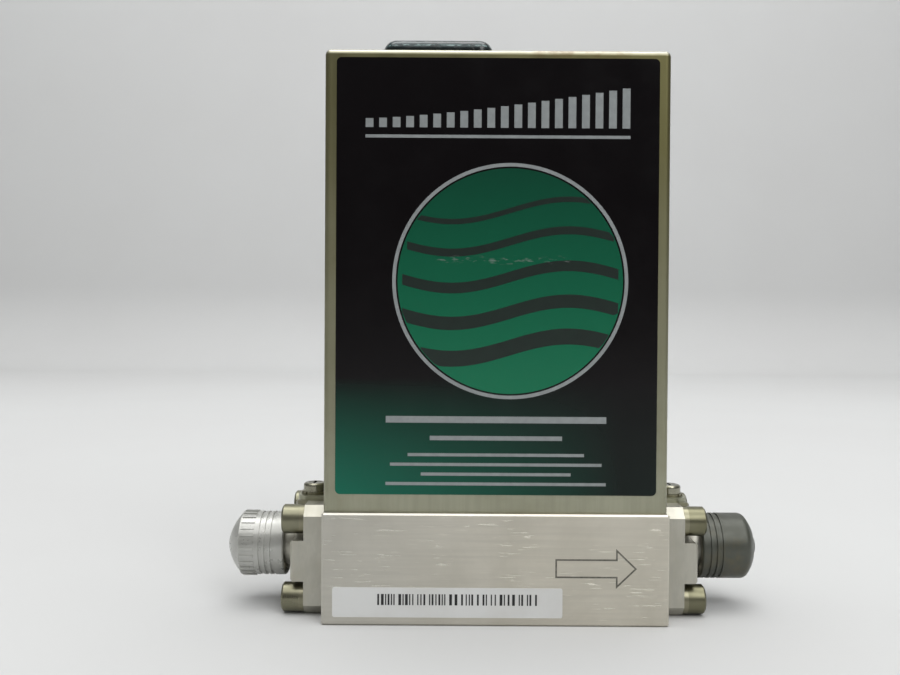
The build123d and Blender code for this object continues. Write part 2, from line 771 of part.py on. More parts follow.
with BuildPart() as sensor_screws:
    pan_head_screws(sensor_screw_places, sensor_base_top, sensor_base_height + small_screw_bite)
sensor_screws.part.label = "sensor_screws"
export_step(sensor_screws.part, "parts/sensor_screws.step")

# Bypass element with axial slots, its spacer sleeve and the inlet screen
bypass_radius = chamber_radius - bypass_gap
with BuildPart() as bypass_element:
    bypass_end = bypass_start + bypass_length
    turned_on_port(1, ((bypass_start, 0), (bypass_start, bypass_radius),
                       (bypass_end, bypass_radius), (bypass_end, bypass_nose),
                       (chamber_end, bypass_nose), (chamber_end, passage_radius),
                       (bypass_end + 1.0, passage_radius), (bypass_end + 1.0, 0)))
    with BuildSketch(Plane(origin=(bypass_start, 0, port_z), z_dir=(1, 0, 0))):
        with PolarLocations(bypass_radius, bypass_slots):
            Rectangle(2 * bypass_slot_depth, bypass_slot_width)
    extrude(amount=bypass_length, mode=Mode.SUBTRACT)
    with BuildSketch(Plane.XY.offset(port_z)):
        with Locations((sensor_legs[1] + 2.2, 0)):
            Circle(sensor_port_radius)
    extrude(amount=chamber_radius, both=True, mode=Mode.SUBTRACT)
bypass_element.part.label = "bypass_element"
export_step(bypass_element.part, "parts/bypass_element.step")

with BuildPart() as bypass_spacer:
    spacer_start = -half_length + screen_thickness + 0.2
    turned_on_port(1, ((spacer_start, bypass_radius - spacer_wall),
                       (spacer_start, bypass_radius), (bypass_start, bypass_radius),
                       (bypass_start, bypass_radius - spacer_wall)))
    with BuildSketch(Plane.XY.offset(port_z)):
        with Locations((sensor_legs[0], 0)):
            Circle(sensor_port_radius + 0.4)
    extrude(amount=chamber_radius, mode=Mode.SUBTRACT)
bypass_spacer.part.label = "bypass_spacer"
export_step(bypass_spacer.part, "parts/bypass_spacer.step")

with BuildPart() as inlet_screen:
    with BuildSketch(Plane(origin=(-half_length + 0.2, 0, port_z), z_dir=(1, 0, 0))):
        Circle(bypass_radius)
        with HexLocations(screen_hole_radius * 1.45, 5, 5):
            Circle(screen_hole_radius, mode=Mode.SUBTRACT)
    extrude(amount=screen_thickness)
inlet_screen.part.label = "inlet_screen"
export_step(inlet_screen.part, "parts/inlet_screen.step")

# Valve seat with its orifice, and the seal under it
with BuildPart() as valve_seat:
    seat_groove = seat_radius - 2 * seal_section - 0.5
    turned_on_valve(((orifice_radius, well_floor), (seat_groove - 0.2, well_floor),
                     (seat_groove - 0.2, well_floor + seal_groove_depth),
                     (seat_radius, well_floor + seal_groove_depth),
                     (seat_radius, seat_top - 0.9), (seat_land_radius + 0.6, seat_top - 0.9),
                     (seat_land_radius, seat_top), (orifice_radius, seat_top)))
valve_seat.part.label = "valve_seat"
export_step(valve_seat.part, "parts/valve_seat.step")

with BuildPart() as seat_seal:
    with BuildSketch(Plane.XZ):
        with Locations((valve_x + seat_groove + seal_section,
                        well_floor + seal_groove_depth / 2)):
            Circle(seal_section)
    revolve(axis=valve_axis)
seat_seal.part.label = "seat_seal"
export_step(seat_seal.part, "parts/seat_seal.step")

# Guide tube: flange in the well, thin tube, pole piece and threaded stud
tube_flange_radius = valve_well_radius - tube_flange_gap
flange_bottom = block_height - tube_flange_height
groove_bottom = flange_bottom + (tube_flange_height - seal_groove_depth) / 2
with BuildPart() as guide_tube:
    turned_on_valve(((tube_inner_radius, flange_bottom), (tube_flange_radius, flange_bottom),
                     (tube_flange_radius, groove_bottom),
                     (tube_flange_radius - seal_groove_depth, groove_bottom),
                     (tube_flange_radius - seal_groove_depth, groove_bottom + seal_groove_depth),
                     (tube_flange_radius, groove_bottom + seal_groove_depth),
                     (tube_flange_radius, block_height), (tube_outer_radius, block_height),
                     (tube_outer_radius, shoulder_z), (stud_radius, shoulder_z),
                     (stud_radius, shoulder_z + stud_height), (0, shoulder_z + stud_height),
                     (0, pole_bottom), (tube_inner_radius, pole_bottom)))
guide_tube.part.label = "guide_tube"
export_step(guide_tube.part, "parts/guide_tube.step")

with BuildPart() as guide_tube_seal:
    with BuildSketch(Plane.XZ):
        with Locations((valve_x + valve_well_radius - seal_section - 0.03,
                        groove_bottom + seal_groove_depth / 2)):
            Circle(seal_section)
    revolve(axis=valve_axis)
guide_tube_seal.part.label = "guide_tube_seal"
export_step(guide_tube_seal.part, "parts/guide_tube_seal.step")

# Plunger with its sealing disc, which lifts off the seat, and its return spring
with BuildPart() as valve_plunger:
    plunger_radius = tube_inner_radius - plunger_gap
    recess_top = seat_top + disc_height
    turned_on_valve(((disc_radius + disc_gap, plunger_bottom), (plunger_radius, plunger_bottom),
                     (plunger_radius, plunger_top), (0, plunger_top), (0, recess_top),
                     (disc_radius + disc_gap, recess_top)))
valve_plunger.part.label = "valve_plunger"
export_step(valve_plunger.part, "parts/valve_plunger.step")

with BuildPart() as plunger_disc:
    turned_on_valve(((0, seat_top), (disc_radius, seat_top), (disc_radius, recess_top),
                     (0, recess_top)))
plunger_disc.part.label = "plunger_disc"
export_step(plunger_disc.part, "parts/plunger_disc.step")

with BuildPart() as valve_spring:
    spring_rise = spring_height - 2 * spring_wire
    with BuildLine():
        coil = Helix(spring_rise / spring_turns, spring_rise, spring_radius,
                     center=(valve_x, 0, plunger_top + spring_wire))
    with BuildSketch(Plane(coil @ 0, z_dir=coil % 0)):
        Circle(spring_wire - 0.01)
    sweep(is_frenet=True)
valve_spring.part.label = "valve_spring"
export_step(valve_spring.part, "parts/valve_spring.step")

# Clamp plate over the guide tube's flange and its screws
with BuildPart() as valve_plate:
    with BuildSketch(Plane.XY.offset(block_height)) as plate:
        with Locations((valve_x, 0)):
            RectangleRounded(valve_plate_size, valve_plate_size, 2.0)
            Circle(tube_outer_radius + tube_gap, mode=Mode.SUBTRACT)
        with Locations(*valve_screw_places):
            Circle(ear_hole_radius, mode=Mode.SUBTRACT)
    extrude(amount=valve_plate_thickness)
valve_plate.part.label = "valve_plate"
export_step(valve_plate.part, "parts/valve_plate.step")

with BuildPart() as valve_plate_screws:
    pan_head_screws(valve_screw_places, valve_plate_top, valve_plate_thickness + small_screw_bite)
valve_plate_screws.part.label = "valve_plate_screws"
export_step(valve_plate_screws.part, "parts/valve_plate_screws.step")

# Solenoid: yoke can, bobbin, winding, top plate and nut
with BuildPart() as coil_yoke:
    turned_on_valve(((tube_outer_radius + tube_gap, yoke_bottom), (yoke_radius, yoke_bottom),
                     (yoke_radius, shoulder_z), (yoke_radius - yoke_wall, shoulder_z),
                     (yoke_radius - yoke_wall, yoke_bottom + yoke_plate),
                     (tube_outer_radius + tube_gap, yoke_bottom + yoke_plate)))
coil_yoke.part.label = "coil_yoke"
export_step(coil_yoke.part, "parts/coil_yoke.step")

bobbin_radius = yoke_radius - yoke_wall - winding_gap
bobbin_bottom = yoke_bottom + yoke_plate
barrel_radius = tube_outer_radius + tube_gap + bobbin_wall
with BuildPart() as coil_bobbin:
    turned_on_valve(((barrel_radius - bobbin_wall, bobbin_bottom), (bobbin_radius, bobbin_bottom),
                     (bobbin_radius, bobbin_bottom + bobbin_flange),
                     (barrel_radius, bobbin_bottom + bobbin_flange),
                     (barrel_radius, shoulder_z - bobbin_flange),
                     (bobbin_radius, shoulder_z - bobbin_flange), (bobbin_radius, shoulder_z),
                     (barrel_radius - bobbin_wall, shoulder_z)))
coil_bobbin.part.label = "coil_bobbin"
export_step(coil_bobbin.part, "parts/coil_bobbin.step")

with BuildPart() as coil_winding:
    turned_on_valve(((barrel_radius, bobbin_bottom + bobbin_flange),
                     (bobbin_radius - 0.4, bobbin_bottom + bobbin_flange),
                     (bobbin_radius - 0.4, shoulder_z - bobbin_flange),
                     (barrel_radius, shoulder_z - bobbin_flange)))
coil_winding.part.label = "coil_winding"
export_step(coil_winding.part, "parts/coil_winding.step")

with BuildPart() as coil_top_plate:
    turned_on_valve(((stud_radius + tube_gap, shoulder_z), (yoke_radius, shoulder_z),
                     (yoke_radius, yoke_top), (stud_radius + tube_gap, yoke_top)))
coil_top_plate.part.label = "coil_top_plate"
export_step(coil_top_plate.part, "parts/coil_top_plate.step")

with BuildPart() as coil_nut:
    with BuildSketch(Plane.XY.offset(yoke_top)):
        with Locations((valve_x, 0)):
            RegularPolygon(nut_across / 2, 6, major_radius=False)
            Circle(stud_radius + small_tap_gap, mode=Mode.SUBTRACT)
    extrude(amount=nut_height)
coil_nut.part.label = "coil_nut"
export_step(coil_nut.part, "parts/coil_nut.step")

# Control board, the bracket that carries it and their screws
bracket_front = -board_back - bracket_sheet
with BuildPart() as main_board:
    with BuildSketch(Plane.XZ.offset(-board_back)):
        with Locations((0, (board_bottom + board_top) / 2)):
            Rectangle(board_width, board_top - board_bottom)
        with Locations(*[(bracket_x, z) for z in board_screw_z]):
            Circle(small_hole_radius, mode=Mode.SUBTRACT)
    extrude(amount=board_thickness)
main_board.part.label = "main_board"
export_step(main_board.part, "parts/main_board.step")

with BuildPart() as board_bracket:
    with BuildSketch(Plane.YZ.offset(bracket_x - bracket_width / 2)):
        with BuildLine() as profile:
            Polyline((-board_back, block_height + bracket_height), (-board_back, block_height),
                     (-board_back - bracket_foot, block_height),
                     (-board_back - bracket_foot, block_height + bracket_sheet),
                     (bracket_front, block_height + bracket_sheet),
                     (bracket_front, block_height + bracket_height), close=True)
        make_face()
    extrude(amount=bracket_width)
    bends = board_bracket.edges().filter_by(Axis.X).group_by(Axis.Z)[0].sort_by(Axis.Y)[-1]
    fillet(bends, bracket_bend)
    round_hole(Plane.XY.offset(block_height + bracket_sheet), foot_screw_places,
               ear_hole_radius, bracket_sheet)
    with BuildSketch(Plane.XZ.offset(-bracket_front)):
        with Locations(*[(bracket_x, z) for z in board_screw_z]):
            Circle(ear_hole_radius)
    extrude(amount=-bracket_sheet, mode=Mode.SUBTRACT)
board_bracket.part.label = "board_bracket"
export_step(board_bracket.part, "parts/board_bracket.step")

with BuildPart() as bracket_screws:
    pan_head_screws(foot_screw_places, block_height + bracket_sheet, bracket_sheet + small_screw_bite)
bracket_screws.part.label = "bracket_screws"
export_step(bracket_screws.part, "parts/bracket_screws.step")

with BuildPart() as board_screws:
    with BuildSketch(Plane.XZ.offset(-bracket_front)):
        with Locations(*[(bracket_x, z) for z in board_screw_z]):
            Circle(small_head_radius - 0.3)
    extrude(amount=1.6)
    with BuildSketch(Plane.XZ.offset(-bracket_front)):
        with Locations(*[(bracket_x, z) for z in board_screw_z]):
            Circle(small_shank_radius)
    extrude(amount=-(bracket_sheet + board_thickness + 1.0))
board_screws.part.label = "board_screws"
export_step(board_screws.part, "parts/board_screws.step")

# Parts on the front of the board
with BuildPart() as board_chips:
    with BuildSketch(Plane.XZ.offset(board_back)):
        with Locations(*chip_places):
            Rectangle(chip_length, chip_depth)
    extrude(amount=chip_rise)
board_chips.part.label = "board_chips"
export_step(board_chips.part, "parts/board_chips.step")

with BuildPart() as board_capacitors:
    with BuildSketch(Plane.XZ.offset(board_back)):
        with Locations(*capacitor_places):
            Circle(capacitor_radius)
    extrude(amount=capacitor_rise)
board_capacitors.part.label = "board_capacitors"
export_step(board_capacitors.part, "parts/board_capacitors.step")

with BuildPart() as board_resistors:
    reaches = [resistor_inner + number * resistor_pitch for number in range(resistor_count // 2)]
    places = [(bracket_x + side * reach, -board_back - resistor_radius)
              for side, _ in sides for reach in reaches]
    with BuildSketch(Plane.XY.offset(board_bottom + resistor_rise)):
        with Locations(*places):
            Circle(resistor_radius)
    extrude(amount=resistor_length)
board_resistors.part.label = "board_resistors"
export_step(board_resistors.part, "parts/board_resistors.step")

# Trimmers at the inlet edge of the board, each with its own adjusting screw
trimmer_y = -board_back - trimmer_rise / 2
with BuildPart() as trimmer_bodies:
    with BuildSketch(Plane.XZ.offset(board_back)):
        with Locations(*[(trimmer_left + trimmer_length / 2, z) for z in trimmer_z]):
            Rectangle(trimmer_length, trimmer_height)
    extrude(amount=trimmer_rise)
    round_hole(end_plane(-1, -trimmer_left), [(-trimmer_y, z) for z in trimmer_z],
               trimmer_screw_radius + trimmer_screw_gap, trimmer_screw_length)
trimmer_bodies.part.label = "trimmer_bodies"
export_step(trimmer_bodies.part, "parts/trimmer_bodies.step")

for name, z in zip(trimmer_names, trimmer_z):
    with BuildPart() as adjuster:
        with BuildSketch(end_plane(-1, -trimmer_left + trimmer_screw_proud)):
            with Locations((-trimmer_y, z)):
                Circle(trimmer_screw_radius)
        extrude(amount=-(trimmer_screw_length + trimmer_screw_proud - 0.1))
        with BuildSketch(end_plane(-1, -trimmer_left + trimmer_screw_proud)):
            with Locations((-trimmer_y, z)):
                Rectangle(2.5 * trimmer_screw_radius, trimmer_slot)
        extrude(amount=-0.7, mode=Mode.SUBTRACT)
    adjuster.part.label = name + "_adjuster"
    export_step(adjuster.part, "parts/" + name + "_adjuster.step")
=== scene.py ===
"""Looks, small pieces, stage and camera for a thermal mass flow controller.

Materials, stage and camera are in metres. Outlines of the pieces made here are
in millimetres. The frame's own nodes get materials and nothing else.
"""
import json
import math
import random

import bmesh
import bpy
from mathutils import Matrix, Vector


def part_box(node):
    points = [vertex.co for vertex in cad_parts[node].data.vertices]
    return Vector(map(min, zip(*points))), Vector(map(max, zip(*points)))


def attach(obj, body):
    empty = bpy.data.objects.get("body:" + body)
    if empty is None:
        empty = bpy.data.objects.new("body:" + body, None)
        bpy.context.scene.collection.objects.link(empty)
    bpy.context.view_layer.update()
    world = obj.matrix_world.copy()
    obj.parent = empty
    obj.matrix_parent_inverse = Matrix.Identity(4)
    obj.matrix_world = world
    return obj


MM = 0.001
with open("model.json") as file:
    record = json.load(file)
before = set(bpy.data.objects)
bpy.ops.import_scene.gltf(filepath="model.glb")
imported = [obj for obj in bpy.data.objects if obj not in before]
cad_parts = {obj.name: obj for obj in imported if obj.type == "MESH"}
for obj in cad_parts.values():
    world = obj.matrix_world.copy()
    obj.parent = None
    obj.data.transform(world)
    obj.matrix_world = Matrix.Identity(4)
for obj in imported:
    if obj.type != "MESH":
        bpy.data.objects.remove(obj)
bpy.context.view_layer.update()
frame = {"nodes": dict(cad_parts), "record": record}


# Colours and materials

# Ranges of a value: all of it, or the part that noise mostly takes
FULL = (0.0, 1.0)
MIDDLE = (0.3, 0.7)
SOME = (0.35, 0.7)


def linear(red, green, blue):
    """A display colour in 0 to 255 as a linear colour."""
    values = []
    for part in (red, green, blue):
        part = part / 255.0
        values.append(part / 12.92 if part <= 0.04045 else ((part + 0.055) / 1.055) ** 2.4)
    return (*values, 1.0)


class Surface:
    """A material built around one principled shader, with colours in 0 to 255."""

    def __init__(self, name, color, rough, metallic=0.0, **sockets):
        self.material = bpy.data.materials.new(name)
        self.material.use_nodes = True
        self.tree = self.material.node_tree
        self.shader = self.tree.nodes["Principled BSDF"]
        self.relief = None
        self.set("Base Color", linear(*color))
        self.set("Roughness", rough)
        self.set("Metallic", metallic)
        for socket, value in sockets.items():
            self.set(socket.replace("_", " "), value)

    def set(self, socket, value):
        """Give a constant to one of the shader's sockets."""
        self.shader.inputs[socket].default_value = value

    def node(self, kind, **inputs):
        """A new node with constants on its inputs."""
        made = self.tree.nodes.new(kind)
        for key, value in inputs.items():
            made.inputs[key.replace("_", " ")].default_value = value
        return made

    def link(self, source, target):
        """Join an output to an input."""
        self.tree.links.new(source, target)

    def place(self, stretch=(1, 1, 1), turn=(0, 0, 0)):
        """Coordinates fixed to the part, stretched and turned for a grain."""
        coordinates = self.node("ShaderNodeTexCoord")
        mapping = self.node("ShaderNodeMapping", Scale=stretch, Rotation=turn)
        self.link(coordinates.outputs["Object"], mapping.inputs["Vector"])
        return mapping.outputs["Vector"]

    def along(self, axis):
        """One of the coordinates fixed to the part."""
        split = self.node("ShaderNodeSeparateXYZ")
        self.link(self.place(), split.inputs["Vector"])
        return split.outputs[axis]

    def noise(self, scale, stretch=(1, 1, 1), detail=4.0, turn=(0, 0, 0), distortion=0.0):
        """Noise around 0.5."""
        made = self.node("ShaderNodeTexNoise", Scale=scale, Detail=detail, Roughness=0.6,
                         Distortion=distortion)
        self.link(self.place(stretch, turn), made.inputs["Vector"])
        return made.outputs["Fac"]

    def spread(self, value, low, high, source):
        """Map a value from its source range to another range."""
        made = self.node("ShaderNodeMapRange", From_Min=source[0], From_Max=source[1],
                         To_Min=low, To_Max=high)
        self.link(value, made.inputs["Value"])
        return made.outputs["Result"]

    def times(self, first, second):
        """The product of two values."""
        made = self.node("ShaderNodeMath")
        made.operation = "MULTIPLY"
        self.link(first, made.inputs[0])
        self.link(second, made.inputs[1])
        return made.outputs["Value"]

    def patch(self, soft, **spans):
        """A value that is 1 between the ends given for each axis and fades to 0 beyond them."""
        result = None
        for axis, (start, end) in spans.items():
            value = self.along(axis)
            both = self.times(self.spread(value, 0.0, 1.0, (start - soft, start + soft)),
                              self.spread(value, 1.0, 0.0, (end - soft, end + soft)))
            result = both if result is None else self.times(result, both)
        return result

    def flecks(self, scale, source, **grain):
        """Noise cut to 0 below its source range and to 1 above it."""
        return self.spread(self.noise(scale, **grain), 0.0, 1.0, source)

    def mix_in(self, value, color, strength, source):
        """Blend a linear colour in where the value is high."""
        mix = self.tree.nodes.new("ShaderNodeMix")
        mix.data_type = "RGBA"
        self.link(self.spread(value, 0.0, strength, source), mix.inputs["Factor"])
        base = self.shader.inputs["Base Color"]
        if base.is_linked:
            self.link(base.links[0].from_socket, mix.inputs["A"])
        else:
            mix.inputs["A"].default_value = base.default_value
        mix.inputs["B"].default_value = color
        self.link(mix.outputs["Result"], base)

    def tint(self, value, color, strength, source=SOME):
        """Blend a colour in 0 to 255 in where the value is high."""
        self.mix_in(value, linear(*color), strength, source)

    def wear(self, value, low, high, source=MIDDLE):
        """Let the roughness follow a value."""
        self.link(self.spread(value, low, high, source), self.shader.inputs["Roughness"])

    def bump(self, value, depth, strength):
        """Add a relief on top of any that is there."""
        made = self.node("ShaderNodeBump", Distance=depth, Strength=strength)
        self.link(value, made.inputs["Height"])
        if self.relief is not None:
            self.link(self.relief, made.inputs["Normal"])
        self.relief = made.outputs["Normal"]
        self.link(self.relief, self.shader.inputs["Normal"])


def steel(name, color, rough, grain, stain, stain_strength):
    """Metal with a grain along one direction, faint stains and uneven gloss."""
    made = Surface(name, color, rough, 1.0)
    fine = made.noise(900, grain, 3.0)
    darker = (*(0.8 * part for part in linear(*color)[:3]), 1.0)
    made.tint(made.noise(45, detail=5.0, distortion=0.6), stain, stain_strength, (0.42, 0.75))
    made.mix_in(fine, darker, 0.6, (0.4, 0.75))
    made.wear(made.noise(160, grain), rough - 0.08, rough + 0.1)
    made.bump(fine, 0.00002, 0.35)
    return made


def coated(name, color, rough, metallic=0.0, spots=None, wear=None, relief=None, **sockets):
    """A painted, printed or moulded surface, made uneven by noise.

    spots is (scale, detail, colour, strength), wear is (scale, low, high)
    and relief is (scale, detail, depth, strength).
    """
    made = Surface(name, color, rough, metallic, **sockets)
    if spots:
        scale, detail, spot_color, strength = spots
        made.tint(made.noise(scale, detail=detail), spot_color, strength)
    if wear:
        scale, low, high = wear
        made.wear(made.noise(scale), low, high)
    if relief:
        scale, detail, depth, strength = relief
        made.bump(made.noise(scale, detail=detail), depth, strength)
    return made


block_steel = steel("block_steel", (216, 211, 198), 0.36, (0.035, 1, 1), (160, 155, 138), 0.35)
fitting_steel = steel("fitting_steel", (196, 194, 184), 0.42, (1, 0.3, 0.3),
                      (146, 141, 120), 0.5)
cover_steel = steel("cover_steel", (172, 172, 152), 0.4, (1, 1, 0.04), (128, 126, 100), 0.55)
screw_steel = steel("screw_steel", (144, 142, 122), 0.32, (0.4, 1, 1), (92, 90, 68), 0.6)
small_steel = steel("small_screw_steel", (158, 156, 140), 0.22, (1, 1, 1), (88, 84, 64), 0.6)
washer_steel = steel("washer_steel", (150, 147, 126), 0.35, (1, 1, 1), (96, 92, 72), 0.5)
connector_plate = steel("connector_plate", (205, 190, 145), 0.3, (1, 1, 0.3),
                        (150, 132, 84), 0.4)
yoke_steel = steel("yoke_steel", (150, 152, 154), 0.42, (1, 1, 0.2), (112, 112, 112), 0.4)
aluminium = steel("sensor_can_aluminium", (190, 192, 194), 0.36, (1, 1, 0.1),
                  (160, 160, 162), 0.3)
brass = steel("pin_brass", (214, 178, 96), 0.25, (1, 1, 0.3), (160, 122, 60), 0.4)

rubber = coated("seal_rubber", (30, 30, 32), 0.6, wear=(300, 0.5, 0.7),
                relief=(2500, 4.0, 0.00002, 0.3))
vinyl = coated("vinyl_cap", (4, 11, 12), 0.14, spots=(60, 5.0, (20, 30, 32), 0.5),
               wear=(200, 0.1, 0.26), relief=(420, 3.0, 0.0004, 0.5),
               Specular_IOR_Level=0.35, Coat_Weight=0.35, Coat_Roughness=0.06)
silver_cap = coated("silver_cap_plastic", (188, 188, 184), 0.3, 0.5,
                    spots=(140, 6.0, (156, 157, 149), 0.5), wear=(500, 0.24, 0.4),
                    relief=(900, 4.0, 0.00002, 0.2))
dark_cap = coated("dark_cap_plastic", (84, 86, 79), 0.34, 0.35,
                  spots=(110, 6.0, (68, 70, 60), 0.6), wear=(400, 0.3, 0.48),
                  relief=(800, 4.0, 0.00004, 0.35))
dark_cap.tint(dark_cap.noise(170), (104, 96, 70), 0.5, (0.5, 0.7))
black_plastic = coated("black_plastic", (26, 26, 27), 0.5, wear=(200, 0.42, 0.58),
                       relief=(1800, 4.0, 0.00003, 0.4))
enamel = coated("coil_enamel", (150, 66, 30), 0.3, 0.4, spots=(300, 4.0, (108, 44, 20), 0.6))
enamel.bump(enamel.noise(1400, (0.05, 0.05, 1)), 0.0001, 0.6)
board_green = coated("board_laminate", (26, 92, 48), 0.35, spots=(220, 2.0, (18, 70, 38), 0.7),
                     relief=(1200, 4.0, 0.00002, 0.3))
capacitor_skin = coated("capacitor_can", (60, 78, 112), 0.3, 0.2,
                        spots=(150, 4.0, (48, 62, 92), 0.5), relief=(700, 4.0, 0.00002, 0.2))
resistor_skin = coated("resistor_ceramic", (150, 172, 186), 0.4,
                       spots=(500, 4.0, (120, 140, 154), 0.6),
                       relief=(1500, 4.0, 0.00002, 0.3))
trimmer_skin = coated("trimmer_plastic", (36, 74, 158), 0.35,
                      spots=(200, 4.0, (30, 60, 130), 0.5), relief=(1500, 4.0, 0.00002, 0.3))
paper = coated("white_paper", (221, 222, 221), 0.42, spots=(90, 6.0, (206, 205, 200), 0.5),
               relief=(400, 4.0, 0.00003, 0.25))
label_ink = coated("label_ink", (20, 20, 22), 0.5, spots=(600, 4.0, (40, 40, 42), 0.4))
silver_ink = coated("silver_ink", (150, 155, 156), 0.34, 0.15,
                    spots=(500, 5.0, (122, 127, 128), 0.5), relief=(1500, 4.0, 0.00001, 0.2))
dark_ink = coated("dark_ink", (14, 30, 24), 0.3, spots=(400, 4.0, (20, 40, 32), 0.5))
etched = coated("etched_mark", (96, 94, 86), 0.6, 0.5, spots=(1600, 4.0, (140, 138, 128), 0.6))

# Label film that turns green towards its lower left corner
film = coated("label_film", (9, 6, 8), 0.16, relief=(70, 2.0, 0.00005, 0.2),
              Specular_IOR_Level=0.22)
film.wear(film.noise(120, detail=6.0), 0.12, 0.24)
low_end = film.spread(film.along("Z"), 0.0, 1.0, (0.056, 0.030))
left_side = film.spread(film.along("X"), 1.0, 0.05, (-0.036, 0.028))
film.tint(film.times(low_end, left_side), (12, 104, 82), 0.95, FULL)

# Green ink that darkens upwards
green_ink = coated("green_ink", (14, 112, 78), 0.2, relief=(70, 2.0, 0.00005, 0.2),
                   Specular_IOR_Level=0.3)
upper = green_ink.spread(green_ink.along("Z"), 0.0, 1.0, (0.052, 0.104))
green_ink.tint(upper, (6, 58, 42), 0.9, FULL)

# A scuff across the front label
for surface in (film, green_ink, dark_ink):
    worn = surface.patch(0.0006, X=(-0.0135, 0.017), Z=(0.0822, 0.0834))
    specks = surface.flecks(1300, (0.54, 0.64), stretch=(0.3, 1, 1), detail=6.0)
    surface.tint(surface.times(worn, specks), (150, 155, 153), 0.5, FULL)

# Olive tint on the cover, deeper towards the top and the outlet side
upper = cover_steel.spread(cover_steel.along("Z"), 0.0, 1.0, (0.030, 0.108))
lean = cover_steel.spread(cover_steel.along("X"), 0.84, 1.0, (-0.039, 0.039))
cover_steel.tint(cover_steel.times(upper, lean), (114, 109, 68), 0.9, FULL)

# The cover's top painted lighter as a highlight along its bent edge, with a brown stain on its
# front edge
painted_top_highlight = cover_steel.patch(0.0004, X=(-0.05, 0.05), Z=(0.1294, 0.1400))
cover_steel.tint(painted_top_highlight, (206, 204, 190), 0.7, FULL)
stain = cover_steel.patch(0.0015, X=(0.008, 0.029), Y=(-0.0220, -0.0160), Z=(0.1290, 0.1400))
blots = cover_steel.spread(cover_steel.noise(500, detail=5.0), 0.2, 1.0, (0.4, 0.6))
cover_steel.tint(cover_steel.times(stain, blots), (104, 78, 52), 0.7, FULL)

# Painted reflection along the dust cap's upper edge: a dull blue-green sheen, then pale
# highlight flecks
for soft, heights, scale, grain, source, color, strength in (
        (0.0003, (0.1342, 0.1360), 700, (0.3, 1, 1), (0.4, 0.55), (12, 46, 50), 0.8),
        (0.0001, (0.1345, 0.1349), 1500, (0.4, 1, 1), (0.48, 0.62), (168, 196, 196), 0.6)):
    painted_glint_band = vinyl.patch(soft, Z=heights)
    vinyl.tint(vinyl.times(painted_glint_band, vinyl.flecks(scale, source, stretch=grain)), color, strength,
               FULL)

# Handling scratches along the block, in some places only
streaks = block_steel.flecks(2400, (0.62, 0.7), stretch=(0.07, 1, 1), detail=2.0,
                             turn=(0, 0.03, 0))
places = block_steel.flecks(75, (0.48, 0.58), stretch=(0.6, 1, 1), detail=3.0)
scratches = block_steel.times(streaks, places)
block_steel.tint(scratches, (240, 236, 222), 0.75, FULL)
block_steel.wear(scratches, 0.36, 0.2, FULL)

# Slow changes of tone along the flow: painted shade darkens the block towards the inlet side,
# and the screws turn darker towards the outlet side
block_steel.tint(block_steel.along("X"), (176, 176, 172), 0.5, (0.010, -0.040))
screw_steel.tint(screw_steel.along("X"), (96, 94, 68), 0.6, (0.020, 0.055))

SLOT_SURFACES = {
    "block_steel": block_steel, "fitting_steel": fitting_steel, "seal_rubber": rubber,
    "socket_screw_steel": screw_steel, "washer_steel": washer_steel,
    "silver_cap_plastic": silver_cap, "dark_cap_plastic": dark_cap, "cover_steel": cover_steel,
    "small_screw_steel": small_steel, "label_film": film, "white_paper": paper,
    "connector_plate": connector_plate, "black_plastic": black_plastic, "pin_brass": brass,
    "vinyl_cap": vinyl, "coil_enamel": enamel, "sensor_can_aluminium": aluminium,
    "yoke_steel": yoke_steel, "board_laminate": board_green, "capacitor_can": capacitor_skin,
    "resistor_ceramic": resistor_skin, "trimmer_plastic": trimmer_skin,
}
for entry in frame["record"]["subparts"]:
    node = frame["nodes"][entry["node"]]
    node.data.materials.clear()
    node.data.materials.append(SLOT_SURFACES[entry["material_slot"]].material)


# Pieces made here

def add_object(name, mesh, surface):
    """An object in the scene with one mesh and one surface."""
    mesh.materials.append(surface.material)
    made = bpy.data.objects.new(name, mesh)
    bpy.context.scene.collection.objects.link(made)
    return made


def piece(name, vertices, faces, surface, body, slot):
    """A flat-shaded mesh from points in millimetres, which rides on a body."""
    mesh = bpy.data.meshes.new(name)
    mesh.from_pydata([Vector(v) * MM for v in vertices], [], faces)
    shape = bmesh.new()
    shape.from_mesh(mesh)
    bmesh.ops.remove_doubles(shape, verts=shape.verts, dist=1e-7)
    bmesh.ops.recalc_face_normals(shape, faces=shape.faces)
    shape.to_mesh(mesh)
    shape.free()
    for face in mesh.polygons:
        face.use_smooth = False
    made = add_object(name, mesh, surface)
    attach(made, body)


def prisms(outlines, back, front):
    """Closed prisms from outlines in X and Z, between two depths along Y."""
    vertices, faces = [], []
    for outline in outlines:
        first, count = len(vertices), len(outline)
        vertices += [(x, back, z) for x, z in outline] + [(x, front, z) for x, z in outline]
        faces.append([first + i for i in range(count)])
        faces.append([first + count + i for i in reversed(range(count))])
        for i in range(count):
            j = (i + 1) % count
            faces.append([first + i, first + count + i, first + count + j, first + j])
    return vertices, faces


def bar(x, z, width, height):
    """The outline of a rectangle about its centre."""
    return [(x - width / 2, z - height / 2), (x + width / 2, z - height / 2),
            (x + width / 2, z + height / 2), (x - width / 2, z + height / 2)]


def band(outer, inner, back, front):
    """A closed band between two outlines with the same number of points."""
    count = len(outer)
    vertices = []
    for y in (back, front):
        vertices += [(x, y, z) for x, z in outer] + [(x, y, z) for x, z in inner]
    faces = []
    for i in range(count):
        j = (i + 1) % count
        faces.append([i, j, count + j, count + i])
        faces.append([2 * count + i, 3 * count + i, 3 * count + j, 2 * count + j])
        faces.append([i, 2 * count + i, 2 * count + j, j])
        faces.append([count + i, count + j, 3 * count + j, 3 * count + i])
    return vertices, faces


def circle(x, z, radius, count=128):
    """The outline of a circle."""
    return [(x + radius * math.cos(2 * math.pi * i / count),
             z + radius * math.sin(2 * math.pi * i / count)) for i in range(count)]


